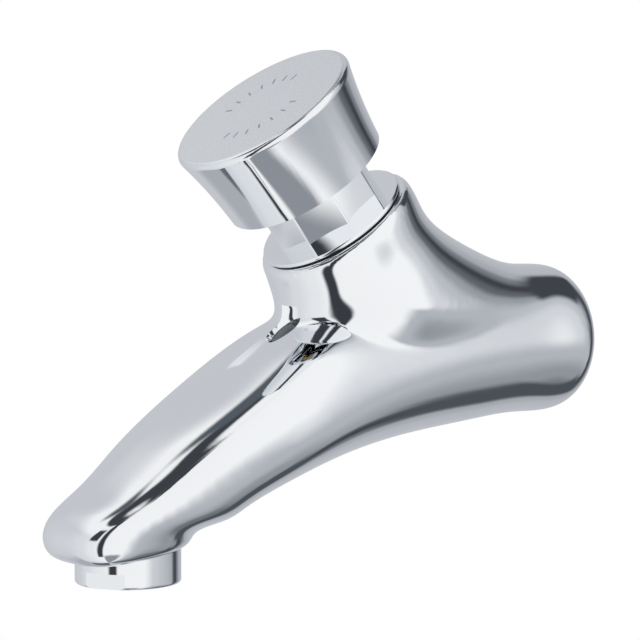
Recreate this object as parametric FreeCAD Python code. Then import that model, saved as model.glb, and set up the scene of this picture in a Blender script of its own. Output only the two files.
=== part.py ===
"""Self-closing wall tap: a polished casting, a push button on a tilted axis, a time-delay
cartridge under it and an aerator in the spout's mouth.

Millimetres, +Z up. The origin is the centre of the wall face, on the inlet's axis. The wall is
the plane Y = 0 and the tap reaches out along -Y.
"""
import FreeCAD
import Part
import math
import os

from FreeCAD import Vector

# Casting: the wall end and the spout
WALL_END_R = 18.4        # radius of the round wall end
WALL_END_ROUND = 7.8     # rounding of its rear edge
REACH = 128.2            # wall to the axis of the outlet
OUTLET_DROP = 45.0       # inlet axis down to the outlet's mouth
SPOUT_HALF_WIDTH = 23.0  # widest half-width of the spout
NOSE_FRONT = 146.2       # wall to the front of the nose
NOSE_REAR = 113.6        # wall to the rear edge of the nose's underside
NOSE_HALF_WIDTH = 16.8
NOSE_ROUND = 4.4         # rounding into the flat face round the outlet, front and sides
NOSE_REAR_ROUND = 1.4

# Casting: the neck that carries the valve
VALVE_REACH = 48.0       # wall to where the valve axis crosses the inlet axis
VALVE_TILT = 37.5        # lean of the valve axis from upright, away from the wall
NECK_R = 20.0            # neck at its rim
NECK_RIM = 38.0          # height of the rim along the valve axis
NECK_RIM_ROUND = 1.5
MOUTH_RISE = 1.6         # middle of the mouth's face above its level
MOUTH_LEAN = 8.0         # lean of the mouth's face, rising to the wall, degrees
SADDLE_FRONT_ROUND = 5.0  # blend where the neck grows out of the run, over the spout
SADDLE_BACK_ROUND = 11.0  # the same, on the side of the wall
SECTION_POINTS = 12      # points round each section of the casting
ROUND_STEPS = (0, 25, 50, 70, 90)  # degrees, the sections round each rounded end

# Casting: bores
INLET_THREAD_R = 9.315   # minor radius of a G1/2 thread
INLET_THREAD_LENGTH = 13.0
INLET_RELIEF_R = 9.9     # thread relief that the inlet washer sits in
INLET_RELIEF_LENGTH = 2.2
INLET_BORE_R = 6.3
INLET_BORE_END = 5.0     # how far short of the valve axis the inlet bore stops
FEED_CHAMBER_R = 10.0    # chamber below the seat
FEED_CHAMBER_DEPTH = 15.5
VALVE_CHAMBER_R = 14.2   # chamber round the cartridge
NECK_THREAD_R = 15.5     # thread for the bonnet
NECK_THREAD_LENGTH = 17.0
SPOUT_BORE_R = 5.5
AERATOR_THREAD_R = 11.5  # minor radius of an M24 x 1 thread
AERATOR_SEAT_Z = 10.0 - OUTLET_DROP      # ledge that the aerator's gasket closes on
AERATOR_COUNTERBORE_Z = 4.0 - OUTLET_DROP

# Index plug in its scoop
INDEX_REACH = 80.5       # wall to the plug's centre
INDEX_Z = 4.2
INDEX_SLOPE = 34.0       # fall of the spout's back there, degrees
INDEX_HALF_WIDTH = 2.9
INDEX_HALF_LENGTH = 4.7
INDEX_SOCKET_DEPTH = 3.0
INDEX_CROWN = 0.9
INDEX_BEVEL = 1.4        # width of the bright bevel round the plug
INDEX_SINK = 1.5         # how deep the bevel goes
FURROW_R = 9.0           # shallow thumb furrow that runs down the spout from the plug
FURROW_LENGTH = 15.0
FURROW_DEPTH = 0.6

# Push cap
CAP_TOP_R = 23.1
CAP_TOP = 71.8           # top face along the valve axis
CAP_SKIRT_R = 20.0
CAP_SKIRT = 51.3         # lower edge along the valve axis
CAP_HOLLOW = 0.45        # inward bow of the side
CAP_WALL = 1.8
CAP_ROOF = 3.0
CAP_EDGE_ROUND = 1.3
CAP_BOSS_R = 6.5
CAP_BOSS_LENGTH = 4.3
TRAVEL = 6.0             # how far the button goes in

# Bonnet
BONNET_FLATS = 25.8      # octagon across its flats
OCTAGON_TURN = 28.5      # first corner from the X axis, degrees
BONNET_FLANGE_R = 18.3
BONNET_FLANGE = 1.2      # height of the flange's rim
BONNET_CONE = 1.5        # height of the bevel above it
BONNET_TOP = 53.5        # top of the octagon
BONNET_EDGE = 1.5        # bevel round the octagon's top
BONNET_BOSS_R = 9.0
BONNET_BOSS = 0.9
BONNET_SKIRT_BORE_R = 12.6
BONNET_CEILING = 38.5    # top of the wide bore
BONNET_HOLLOW_R = 9.5
BONNET_HOLLOW_TOP = 43.0
GASKET = 0.7             # bonnet gasket, seen as the dark seam

# Cartridge housing
HOUSING_FOOT_R = 12.4
HOUSING_SHOULDER_R = 15.2
HOUSING_SHOULDER = 2.2
HOUSING_NECK_R = 12.4    # tube inside the bonnet's skirt
HOUSING_TOP = 36.0
HOUSING_BORE_R = 9.5     # the dash-pot's cylinder
HOUSING_WEB = 7.5        # underside of the web, along the valve axis
HOUSING_WEB_THICKNESS = 2.5
HOUSING_LOWER_BORE_R = 10.2
PORT_WIDTH = 8.0
PORT_HEIGHT = 3.6
PORT_COUNT = 4
PORT_TURN = 45.0         # first port from the X axis, degrees
PORT_RISE = 0.3          # how far the ports cut into the web above them
SEAT_GASKET = 1.5
SEAT_GASKET_BORE_R = 10.4

# Valve seat
SEAT_R = 10.1
SEAT_BORE_R = 5.5
SEAT_TOP = 4.0
SEAT_LIP = 0.7
SEAT_LIP_WIDTH = 1.2

# Stem and what it carries
STEM_R = 4.0
STEM_LOWER_R = 3.0
STEM_SPIGOT_R = 3.0      # M6 thread at both the cap and the lock nut
STEM_TIP_R = 2.5         # M5 thread at the valve end
STEM_TIP = -8.6
COLLAR_R = 5.4
COLLAR = 1.4
PISTON_R = 9.2
PISTON_FOOT = 22.0
PISTON = 5.0
PISTON_RELIEF = 0.8      # depth of the groove round the piston
LIP_SEAL = 3.0
BACKING_WASHER = 1.0
CIRCLIP = 0.8
CIRCLIP_R = 6.0
CIRCLIP_GROOVE_R = 3.2
CIRCLIP_GAP = 2.4
VALVE_WASHER_R = 7.4
VALVE_WASHER = 3.0
HOLDER_R = 8.2
HOLDER_FLOOR = 2.0
HOLDER_RIM = 2.0
TIP_NUT_FLATS = 8.0
TIP_NUT = 2.8
LOCK_NUT_FLATS = 10.0
LOCK_NUT = 3.0

# Guide, seals and spring
BUSH_R = 6.4
BUSH_LENGTH = 4.0
STEM_RING_WIRE = 1.1     # half thickness of the stem's O-ring
STEM_RING_PLACE = 47.0
HOUSING_RING_WIRE = 0.9
HOUSING_RING_PLACE = 32.0
SPRING_WIRE_R = 0.6
SPRING_R = 7.0
SPRING_TURNS = 4
SPRING_END_GAP = 0.55    # between the wires of the two end turns and their neighbours

# Inlet strainer
INLET_WASHER = 2.0
INLET_WASHER_BORE_R = 6.6
STRAINER_R = 5.9
STRAINER_LENGTH = 9.0
STRAINER_WALL = 0.5
STRAINER_SLOT = 1.2
STRAINER_SLOTS = 4       # each cuts right across the cup

# Aerator
SHELL_R = 12.0
SHELL_FOOT_Z = -5.3 - OUTLET_DROP
SHELL_THREAD_R = 11.4
SHELL_BORE_R = 10.2
SHELL_LIP = 1.3
SHELL_LIP_BORE_R = 8.8
SHELL_EDGE_ROUND = 0.8
SHELL_FLATS = 22.0
SHELL_FLAT_HEIGHT = 3.5
SHELL_FLAT_TURN = 31.0   # first flat from -Y towards +X, degrees
AERATOR_GASKET = 1.4
AERATOR_GASKET_BORE_R = 7.6
FLOW_DISC = 2.4
FLOW_HOLES = 10
FLOW_HOLE_R = 0.75
FLOW_HOLE_CIRCLE_R = 6.2
FLOW_HUB_R = 3.0         # boss under the middle of the flow disc
FLOW_HUB = 1.5
FLOW_RECESS_R = 4.0      # inner edge of the shallow ring sunk in its top
FLOW_RECESS = 0.8
FLOW_RIM = 1.5           # rim left outside that ring
INSERT_WALL = 1.1
INSERT_RIB = 1.0
INSERT_HOLES = 6         # round the floor, sizes as shares of the sleeve's inner radius
INSERT_HOLE_CIRCLE = 0.55
INSERT_HOLE = 0.24
INSERT_MIDDLE_HOLE = 0.22
SCREEN = 0.4
SCREEN_GAP = 1.6
SCREEN_COUNT = 2
SCREEN_SLOTS = 9
SCREEN_SLOT = 1.0

# Clearances
RUNNING = 0.06           # radial, a rod in its guide
LIP_GAP = 0.05           # radial, the lip seal in its cylinder
SEATED = 0.1             # a piece beside the one that holds it
CLOSED_GAP = 0.1         # the valve washer under its seat at rest

UP = Vector(0, 0, 1)
OUT = Vector(0, -1, 0)
ORIGIN = Vector(0, 0, 0)


def revolved(points):
    """A full turn about Z of a closed outline given as (radius, height)."""
    corners = [Vector(r, 0, h) for r, h in points]
    outline = Part.makePolygon(corners + corners[:1])
    return Part.Face(outline).revolve(ORIGIN, UP, 360)


def disc(radius, low, high):
    return Part.makeCylinder(radius, high - low, Vector(0, 0, low))


def tube(outer, inner, low, high):
    return disc(outer, low, high).cut(disc(inner, low - 1, high + 1))


def ring(centre_r, wire, height):
    return Part.makeTorus(centre_r, wire, Vector(0, 0, height))


def prism(sides, flats, low, high, turn=0.0):
    """A bar with flat sides, its first corner turned from the X axis."""
    corner_r = flats / 2 / math.cos(math.pi / sides)
    corners = []
    for k in range(sides + 1):
        angle = math.radians(turn) + 2 * math.pi * k / sides
        corners.append(Vector(corner_r * math.cos(angle), corner_r * math.sin(angle), low))
    return Part.Face(Part.makePolygon(corners)).extrude(Vector(0, 0, high - low))


def on_valve_axis(shape):
    """Puts a shape made about Z onto the tilted axis of the valve."""
    placed = shape.copy()
    placed.rotate(ORIGIN, Vector(1, 0, 0), VALVE_TILT)
    placed.translate(OUT * VALVE_REACH)
    return placed


def on_outlet_axis(shape):
    placed = shape.copy()
    placed.translate(OUT * REACH)
    return placed


def round_edges(shape, radius, wanted):
    edges = [edge for edge in shape.Edges if wanted(edge)]
    return shape.makeFillet(radius, edges)


def is_ring_at(edge, height, radius, slack=0.05):
    """True for a full circle about Z at that height and radius."""
    curve = edge.Curve
    if not isinstance(curve, Part.Circle):
        return False
    off_height = abs(curve.Center.z - height)
    off_radius = abs(curve.Radius - radius)
    return off_height < slack and off_radius < slack


# The casting's outside

def bent_section(belly, back, half_width, back_power, belly_power):
    """Points round a closed section between a belly and a back point, rounder or squarer."""
    centre = (belly + back) * 0.5
    rise = (back - belly) * 0.5
    points = []
    for k in range(SECTION_POINTS):
        angle = 2 * math.pi * k / SECTION_POINTS - math.pi / 2
        power = back_power if math.sin(angle) > 0 else belly_power
        across = math.copysign(abs(math.cos(angle)) ** (2 / power), math.cos(angle))
        along = math.copysign(abs(math.sin(angle)) ** (2 / power), math.sin(angle))
        points.append(centre + Vector(half_width * across, 0, 0) + rise * along)
    return points


def skinned_solid(sections):
    """One smooth closed surface through a row of sections, shut by flat ends."""
    around = [k / SECTION_POINTS for k in range(SECTION_POINTS + 1)]
    rings = []
    for points in sections:
        curve = Part.BSplineCurve()
        curve.interpolate(Points=points, PeriodicFlag=True, Parameters=around)
        rings.append(curve)
    along = [0.0]
    for before, after in zip(sections, sections[1:]):
        step = sum((q - p).Length for p, q in zip(before, after)) / SECTION_POINTS
        along.append(along[-1] + step)
    along = [place / along[-1] for place in along]
    columns = []
    for k in range(rings[0].NbPoles):
        column = Part.BSplineCurve()
        column.interpolate(Points=[curve.getPole(k + 1) for curve in rings], Parameters=along)
        columns.append(column)
    first = columns[0]
    skin = Part.BSplineSurface()
    skin.buildFromPolesMultsKnots(
        [column.getPoles() for column in columns],
        rings[0].getMultiplicities(), first.getMultiplicities(),
        rings[0].getKnots(), first.getKnots(),
        True, False, rings[0].Degree, first.Degree,
    )
    ends = [Part.Face(Part.Wire(skin.vIso(place).toShape())) for place in (0.0, 1.0)]
    joined = Part.Compound([skin.toShape()] + ends)
    joined.sewShape()
    solid = Part.Solid(Part.Shell(joined.Faces))
    if solid.Volume < 0:
        solid.reverse()
    return solid


def run_section(belly_reach, belly_fall, back_reach, back_fall, width, back_power, belly_power):
    """Reaches are shares of REACH. Falls are shares of the way from the wall end to the mouth."""
    belly_z = -WALL_END_R - belly_fall * (OUTLET_DROP - WALL_END_R)
    back_z = WALL_END_R - back_fall * (OUTLET_DROP + WALL_END_R)
    belly = Vector(0, -belly_reach * REACH, belly_z)
    back = Vector(0, -back_reach * REACH, back_z)
    return bent_section(belly, back, width, back_power, belly_power)


def quarter_round(rounding):
    """Steps round a quarter circle from a flat end outwards: how far along, how far in."""
    steps = []
    for degrees in ROUND_STEPS:
        angle = math.radians(degrees)
        steps.append((rounding * (1 - math.cos(angle)), rounding * (1 - math.sin(angle))))
    return steps


def round_end_sections(radius, rounding, place, way, across):
    """Circles down a rounded end, from its flat face at a place, along a way into the form."""
    sections = []
    for along, inward in quarter_round(rounding):
        centre = place + way * along
        half = across * (radius - inward)
        sections.append(bent_section(centre - half, centre + half, radius - inward, 2.0, 2.0))
    return sections


def mouth_sections():
    """The rounded underside of the nose, down to a flat face that leans up towards the wall."""
    lean = math.radians(MOUTH_LEAN)
    out = Vector(0, -math.cos(lean), -math.sin(lean))
    up = Vector(0, -math.sin(lean), math.cos(lean))
    face = OUT * REACH - UP * (OUTLET_DROP - MOUTH_RISE)
    sections = []
    pairs = zip(quarter_round(NOSE_ROUND), quarter_round(NOSE_REAR_ROUND))
    for (front_up, front_in), (rear_up, rear_in) in reversed(list(pairs)):
        front = face + out * (NOSE_FRONT - REACH - front_in) + up * front_up
        rear = face + out * (NOSE_REAR - REACH + rear_in) + up * rear_up
        sections.append(bent_section(rear, front, NOSE_HALF_WIDTH - front_in, 2.1, 2.0))
    return sections


def run_solid():
    """The wall end and the spout, one smooth form from the wall to the outlet's mouth."""
    wall = WALL_END_R
    wide = SPOUT_HALF_WIDTH
    stations = [
        run_section(0.130, 0.000, 0.130, 0.000, wall, 2.0, 2.0),
        run_section(0.250, 0.041, 0.250, 0.000, 0.85 * wall + 0.15 * wide, 2.0, 2.0),
        run_section(0.406, 0.120, 0.437, 0.061, 0.55 * wall + 0.45 * wide, 2.2, 2.0),
        run_section(0.562, 0.250, 0.624, 0.166, 0.22 * wall + 0.78 * wide, 2.8, 2.1),
        run_section(0.718, 0.459, 0.796, 0.383, wide, 3.6, 2.2),
        run_section(0.805, 0.640, 0.971, 0.628, 0.89 * wide, 3.4, 2.2),
        run_section(0.838, 0.715, 1.054, 0.760, 0.81 * wide, 3.0, 2.2),
    ]
    wall_end = round_end_sections(WALL_END_R, WALL_END_ROUND, ORIGIN, OUT, UP)
    return skinned_solid(wall_end + stations + mouth_sections())


def neck_solid():
    """The neck: round at its rim, spreading backwards as it grows into the run."""
    sections = round_end_sections(NECK_R, NECK_RIM_ROUND, UP * NECK_RIM, -UP, -OUT)
    spreads = [
        (0.74, 1.18, 1.03, 1.05),
        (0.47, 1.36, 1.17, 1.12),
        (0.21, 1.38, 1.32, 1.10),
        (0.00, 1.24, 1.24, 0.84),
    ]
    for share, front, rear, side in spreads:
        height = share * NECK_RIM
        belly = Vector(0, -front * NECK_R, height)
        back = Vector(0, rear * NECK_R, height)
        sections.append(bent_section(belly, back, side * NECK_R, 2.0, 2.0))
    return on_valve_axis(skinned_solid(sections))


def edges_on_both(joined, first, second):
    """The edges of a fused solid along which its two parents met."""
    skins = [Part.makeCompound(first.Faces), Part.makeCompound(second.Faces)]
    shared = []
    for edge in joined.Edges:
        low, high = edge.ParameterRange
        middle = Part.Vertex(edge.valueAt((low + high) / 2))
        if all(skin.distToShape(middle)[0] < 0.001 for skin in skins):
            shared.append(edge)
    return shared


def casting_outside():
    """Run and neck, made as a half and mirrored, with a blend that widens towards the wall."""
    reach = 2 * REACH
    right_side = Part.makeBox(reach, 2 * reach, 2 * reach, Vector(0, -reach, -reach))
    run = run_solid().common(right_side)
    neck = neck_solid().common(right_side)
    half = run.fuse(neck).removeSplitter()
    seam = edges_on_both(half, run, neck)
    half = half.makeFillet(SADDLE_FRONT_ROUND, SADDLE_BACK_ROUND, seam)
    return half.fuse(half.mirror(ORIGIN, Vector(1, 0, 0)))


# The casting's bores

def valve_bores():
    """Feed chamber under the seat, valve chamber round the cartridge, thread for the bonnet."""
    thread_foot = NECK_RIM - NECK_THREAD_LENGTH
    feed = disc(FEED_CHAMBER_R, -FEED_CHAMBER_DEPTH, 1)
    chamber = disc(VALVE_CHAMBER_R, 0, thread_foot + 1)
    thread = disc(NECK_THREAD_R, thread_foot, NECK_RIM + BONNET_TOP)
    return on_valve_axis(feed.fuse([chamber, thread]))


def inlet_bores():
    """Threaded mouth in the wall face, relief for the washer and the bore to the feed chamber."""
    relief = INLET_THREAD_LENGTH + INLET_RELIEF_LENGTH
    mouth = Part.makeCylinder(INLET_THREAD_R, INLET_THREAD_LENGTH + 1, -OUT, OUT)
    groove = Part.makeCylinder(INLET_RELIEF_R, INLET_RELIEF_LENGTH, OUT * INLET_THREAD_LENGTH, OUT)
    length = VALVE_REACH - INLET_BORE_END - relief
    bore = Part.makeCylinder(INLET_BORE_R, length + 1, OUT * (relief - 1), OUT)
    return mouth.fuse([groove, bore])


def spout_bores():
    """Waterway from the valve chamber down to the aerator, and the aerator's threaded socket."""
    port_height = HOUSING_WEB - PORT_HEIGHT / 2
    start = on_valve_axis(Part.Vertex(0, -SEAT_R, port_height)).Point
    end = OUT * REACH + UP * (AERATOR_SEAT_Z + 2)
    way = Part.makeCylinder(SPOUT_BORE_R, (end - start).Length, start, end - start)
    drop = disc(AERATOR_GASKET_BORE_R, AERATOR_SEAT_Z - 1, AERATOR_SEAT_Z + 4)
    socket = disc(AERATOR_THREAD_R, SHELL_FOOT_Z, AERATOR_SEAT_Z)
    collar = disc(SHELL_R + SEATED, SHELL_FOOT_Z, AERATOR_COUNTERBORE_Z)
    return way.fuse(on_outlet_axis(drop.fuse([socket, collar])))


def to_index(shape):
    """Puts a shape made about Z onto the index plug's place, square to the spout's back."""
    placed = shape.copy()
    placed.rotate(ORIGIN, Vector(1, 0, 0), INDEX_SLOPE)
    placed.translate(OUT * INDEX_REACH + UP * INDEX_Z)
    return placed


def oval_wire(half_width, half_length, height):
    """An oval outline, longer along Y."""
    outline = Part.Wire(Part.Ellipse(ORIGIN, half_length, half_width).toShape())
    outline.rotate(ORIGIN, UP, 90)
    outline.translate(UP * height)
    return outline


def oval(half_width, half_length, low, high):
    return Part.Face(oval_wire(half_width, half_length, low)).extrude(UP * (high - low))


def index_cuts():
    """The plug's bevelled socket and the long thumb furrow that runs down the spout from it."""
    socket = oval(INDEX_HALF_WIDTH + SEATED, INDEX_HALF_LENGTH + SEATED, -INDEX_SOCKET_DEPTH, 0)
    foot = oval_wire(INDEX_HALF_WIDTH + SEATED, INDEX_HALF_LENGTH + SEATED, -INDEX_SINK)
    brim_width = INDEX_HALF_WIDTH + 2 * INDEX_BEVEL
    brim_length = INDEX_HALF_LENGTH + 2 * INDEX_BEVEL
    brim = oval_wire(brim_width, brim_length, INDEX_SINK)
    bevel = Part.makeLoft([foot, brim], True, True)
    furrow = Part.makeCylinder(FURROW_R, 2 * FURROW_LENGTH, ORIGIN, OUT)
    furrow.translate(UP * (FURROW_R - FURROW_DEPTH))
    furrow.rotate(ORIGIN, Vector(1, 0, 0), -math.degrees(math.atan2(FURROW_DEPTH, FURROW_LENGTH)))
    return to_index(socket.fuse([bevel, furrow]))


def tap_body():
    body = casting_outside()
    for bores in (valve_bores(), inlet_bores(), spout_bores(), index_cuts()):
        body = body.cut(bores)
    return body


def index_plug():
    """An oval plug with a domed face, a little below the skin of the spout."""
    crown = -INDEX_SINK + INDEX_CROWN
    plug = oval(INDEX_HALF_WIDTH, INDEX_HALF_LENGTH, -INDEX_SOCKET_DEPTH, crown)
    dome_r = (INDEX_HALF_LENGTH ** 2 + INDEX_CROWN ** 2) / (2 * INDEX_CROWN)
    return to_index(plug.common(Part.makeSphere(dome_r, UP * (crown - dome_r))))


# Bonnet

def bonnet():
    """Octagon over a bevelled flange, with a threaded skirt below and the stem's guide inside."""
    flange_foot = NECK_RIM + GASKET
    cone_foot = flange_foot + BONNET_FLANGE
    cone_top = cone_foot + BONNET_CONE
    corner_r = BONNET_FLATS / 2 / math.cos(math.pi / 8)
    skirt_foot = NECK_RIM - NECK_THREAD_LENGTH + HOUSING_SHOULDER + SEATED
    boss_top = BONNET_TOP + BONNET_BOSS
    outline = [
        (0, skirt_foot), (NECK_THREAD_R - SEATED, skirt_foot), (NECK_THREAD_R - SEATED, flange_foot),
        (BONNET_FLANGE_R, flange_foot), (BONNET_FLANGE_R, cone_foot), (corner_r, cone_top), (0, cone_top),
    ]
    octagon = prism(8, BONNET_FLATS, cone_foot, BONNET_TOP, OCTAGON_TURN)
    bevel = revolved([
        (0, cone_foot), (corner_r + 1, cone_foot), (corner_r + 1, BONNET_TOP - BONNET_EDGE),
        (corner_r - BONNET_EDGE, BONNET_TOP), (0, BONNET_TOP),
    ])
    solid = revolved(outline).fuse([octagon.common(bevel), disc(BONNET_BOSS_R, cone_top, boss_top)])
    inner = revolved([
        (0, skirt_foot - 1), (BONNET_SKIRT_BORE_R, skirt_foot - 1), (BONNET_SKIRT_BORE_R, BONNET_CEILING),
        (BONNET_HOLLOW_R, BONNET_CEILING), (BONNET_HOLLOW_R, BONNET_HOLLOW_TOP),
        (STEM_R + RUNNING, BONNET_HOLLOW_TOP + 1), (STEM_R + RUNNING, boss_top + 1), (0, boss_top + 1),
    ])
    groove_r = STEM_R + 2 * STEM_RING_WIRE + LIP_GAP
    low = STEM_RING_PLACE - STEM_RING_WIRE - SEATED
    high = STEM_RING_PLACE + STEM_RING_WIRE + SEATED
    bush_bed = disc(BUSH_R, boss_top - BUSH_LENGTH, boss_top + 1)
    return solid.cut(inner.fuse([disc(groove_r, low, high), bush_bed])).removeSplitter()


def bonnet_gasket():
    return tube(BONNET_FLANGE_R - 0.4, NECK_THREAD_R + SEATED, NECK_RIM, NECK_RIM + GASKET)


def stem_bush():
    boss_top = BONNET_TOP + BONNET_BOSS
    return tube(BUSH_R, STEM_R + RUNNING, boss_top - BUSH_LENGTH, boss_top)


def stem_ring():
    return ring(STEM_R + LIP_GAP + STEM_RING_WIRE, STEM_RING_WIRE, STEM_RING_PLACE)


# Cartridge housing and seat

def cartridge_housing():
    """Dash-pot cylinder above a web, and the ported outlet chamber above the seat below it."""
    shoulder_foot = NECK_RIM - NECK_THREAD_LENGTH
    shoulder_top = shoulder_foot + HOUSING_SHOULDER
    web_top = HOUSING_WEB + HOUSING_WEB_THICKNESS
    body = disc(HOUSING_FOOT_R, SEAT_GASKET, HOUSING_TOP)
    body = body.fuse(disc(HOUSING_SHOULDER_R, shoulder_foot, shoulder_top))
    bores = disc(HOUSING_LOWER_BORE_R, SEAT_GASKET - 1, HOUSING_WEB)
    cylinder = disc(HOUSING_BORE_R, web_top, HOUSING_TOP + 1)
    bores = bores.fuse([cylinder, disc(STEM_R + RUNNING, 0, HOUSING_TOP)])
    low = HOUSING_RING_PLACE - HOUSING_RING_WIRE
    high = HOUSING_RING_PLACE + HOUSING_RING_WIRE
    groove_floor = BONNET_SKIRT_BORE_R - 2 * HOUSING_RING_WIRE - SEATED
    bores = bores.fuse(tube(HOUSING_FOOT_R + 1, groove_floor, low - SEATED, high + SEATED))
    port = Part.makeBox(2 * HOUSING_FOOT_R, PORT_WIDTH, PORT_HEIGHT, Vector(0, -PORT_WIDTH / 2, 0))
    port.translate(UP * (HOUSING_WEB - PORT_HEIGHT + PORT_RISE))
    for k in range(PORT_COUNT):
        turned = port.copy()
        turned.rotate(ORIGIN, UP, PORT_TURN + k * 360 / PORT_COUNT)
        bores = bores.fuse(turned)
    return body.cut(bores).removeSplitter()


def housing_ring():
    centre_r = BONNET_SKIRT_BORE_R - HOUSING_RING_WIRE - SEATED / 2
    return ring(centre_r, HOUSING_RING_WIRE, HOUSING_RING_PLACE)


def seat_gasket():
    return tube(HOUSING_FOOT_R, SEAT_GASKET_BORE_R, 0, SEAT_GASKET)


def valve_seat():
    """A ring pressed up into the housing, with the sealing lip on its underside."""
    lip_r = SEAT_BORE_R + SEAT_LIP_WIDTH
    return revolved([
        (SEAT_BORE_R, 0), (lip_r, 0), (lip_r, SEAT_LIP), (SEAT_R, SEAT_LIP), (SEAT_R, SEAT_TOP),
        (SEAT_BORE_R + 1, SEAT_TOP), (SEAT_BORE_R, SEAT_TOP - 1),
    ])


# The pieces that the button carries

def stem():
    """One turned rod: cap thread, guide, circlip groove, piston collar, valve rod and its thread."""
    washer_top = -CLOSED_GAP
    collar_foot = PISTON_FOOT - COLLAR
    clip_foot = PISTON_FOOT + PISTON + LIP_SEAL + BACKING_WASHER
    spigot_foot = lock_nut_foot()
    tip_foot = washer_top - VALVE_WASHER
    spigot_top = CAP_TOP - CAP_ROOF
    return revolved([
        (0, STEM_TIP), (STEM_TIP_R - 0.4, STEM_TIP), (STEM_TIP_R, STEM_TIP + 0.4), (STEM_TIP_R, tip_foot),
        (STEM_LOWER_R, tip_foot), (STEM_LOWER_R, SEAT_TOP), (STEM_R, SEAT_TOP + 1), (STEM_R, collar_foot),
        (COLLAR_R, collar_foot), (COLLAR_R, PISTON_FOOT), (STEM_R, PISTON_FOOT), (STEM_R, clip_foot),
        (CIRCLIP_GROOVE_R, clip_foot), (CIRCLIP_GROOVE_R, clip_foot + CIRCLIP), (STEM_R, clip_foot + CIRCLIP),
        (STEM_R, spigot_foot), (STEM_SPIGOT_R, spigot_foot), (STEM_SPIGOT_R, spigot_top), (0, spigot_top),
    ])


def piston():
    body = tube(PISTON_R, STEM_R + RUNNING, PISTON_FOOT, PISTON_FOOT + PISTON)
    relief_foot = PISTON_FOOT + PISTON / 3
    relief = tube(PISTON_R + 1, PISTON_R - PISTON_RELIEF, relief_foot, relief_foot + PISTON / 3)
    return body.cut(relief)


def lip_seal():
    """A rubber cup: flat floor, thin outer lip that scrapes the cylinder on its way back."""
    foot = PISTON_FOOT + PISTON
    lip_r = HOUSING_BORE_R - LIP_GAP
    middle = foot + LIP_SEAL / 2
    top = foot + LIP_SEAL
    return revolved([
        (STEM_R + RUNNING, foot), (PISTON_R - 0.5, foot), (lip_r, top - 0.4), (lip_r, top),
        (lip_r - 1.0, top), (lip_r - 1.8, middle), (CIRCLIP_R + 0.5, middle),
        (CIRCLIP_R + 0.5, top), (STEM_R + RUNNING, top),
    ])


def backing_washer():
    foot = PISTON_FOOT + PISTON + LIP_SEAL
    return tube(CIRCLIP_R + 0.5, STEM_R + RUNNING, foot, foot + BACKING_WASHER)


def stem_circlip():
    foot = PISTON_FOOT + PISTON + LIP_SEAL + BACKING_WASHER
    clip = tube(CIRCLIP_R, CIRCLIP_GROOVE_R, foot, foot + CIRCLIP)
    gap = Part.makeBox(CIRCLIP_R + 1, CIRCLIP_GAP, CIRCLIP + 2, Vector(0, -CIRCLIP_GAP / 2, foot - 1))
    return clip.cut(gap)


def valve_washer():
    top = -CLOSED_GAP
    return tube(VALVE_WASHER_R, STEM_LOWER_R + SEATED / 2, top - VALVE_WASHER, top)


def washer_holder():
    floor_top = -CLOSED_GAP - VALVE_WASHER
    floor_foot = floor_top - HOLDER_FLOOR
    return revolved([
        (STEM_TIP_R + SEATED / 2, floor_foot), (HOLDER_R - 0.6, floor_foot), (HOLDER_R, floor_foot + 0.6),
        (HOLDER_R, floor_top + HOLDER_RIM), (VALVE_WASHER_R + SEATED / 2, floor_top + HOLDER_RIM),
        (VALVE_WASHER_R + SEATED / 2, floor_top), (STEM_TIP_R + SEATED / 2, floor_top),
    ])


def nut(flats, low, high, bore_r):
    return prism(6, flats, low, high).cut(disc(bore_r, low - 1, high + 1))


def tip_nut():
    top = -CLOSED_GAP - VALVE_WASHER - HOLDER_FLOOR
    return nut(TIP_NUT_FLATS, top - TIP_NUT, top, STEM_TIP_R + SEATED / 2)


def lock_nut_foot():
    """The nut is tightened up against the foot of the cap's boss."""
    return CAP_TOP - CAP_ROOF - CAP_BOSS_LENGTH - SEATED / 2 - LOCK_NUT


def lock_nut():
    foot = lock_nut_foot()
    return nut(LOCK_NUT_FLATS, foot, foot + LOCK_NUT, STEM_SPIGOT_R + SEATED / 2)


def cap_side(top_r, skirt_r, top, skirt, hollow):
    """The bowed side line of the cap, from its skirt up to its top."""
    middle = Vector((top_r + skirt_r) / 2 - hollow, 0, (top + skirt) / 2)
    return Part.Arc(Vector(skirt_r, 0, skirt), middle, Vector(top_r, 0, top)).toShape()


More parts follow.
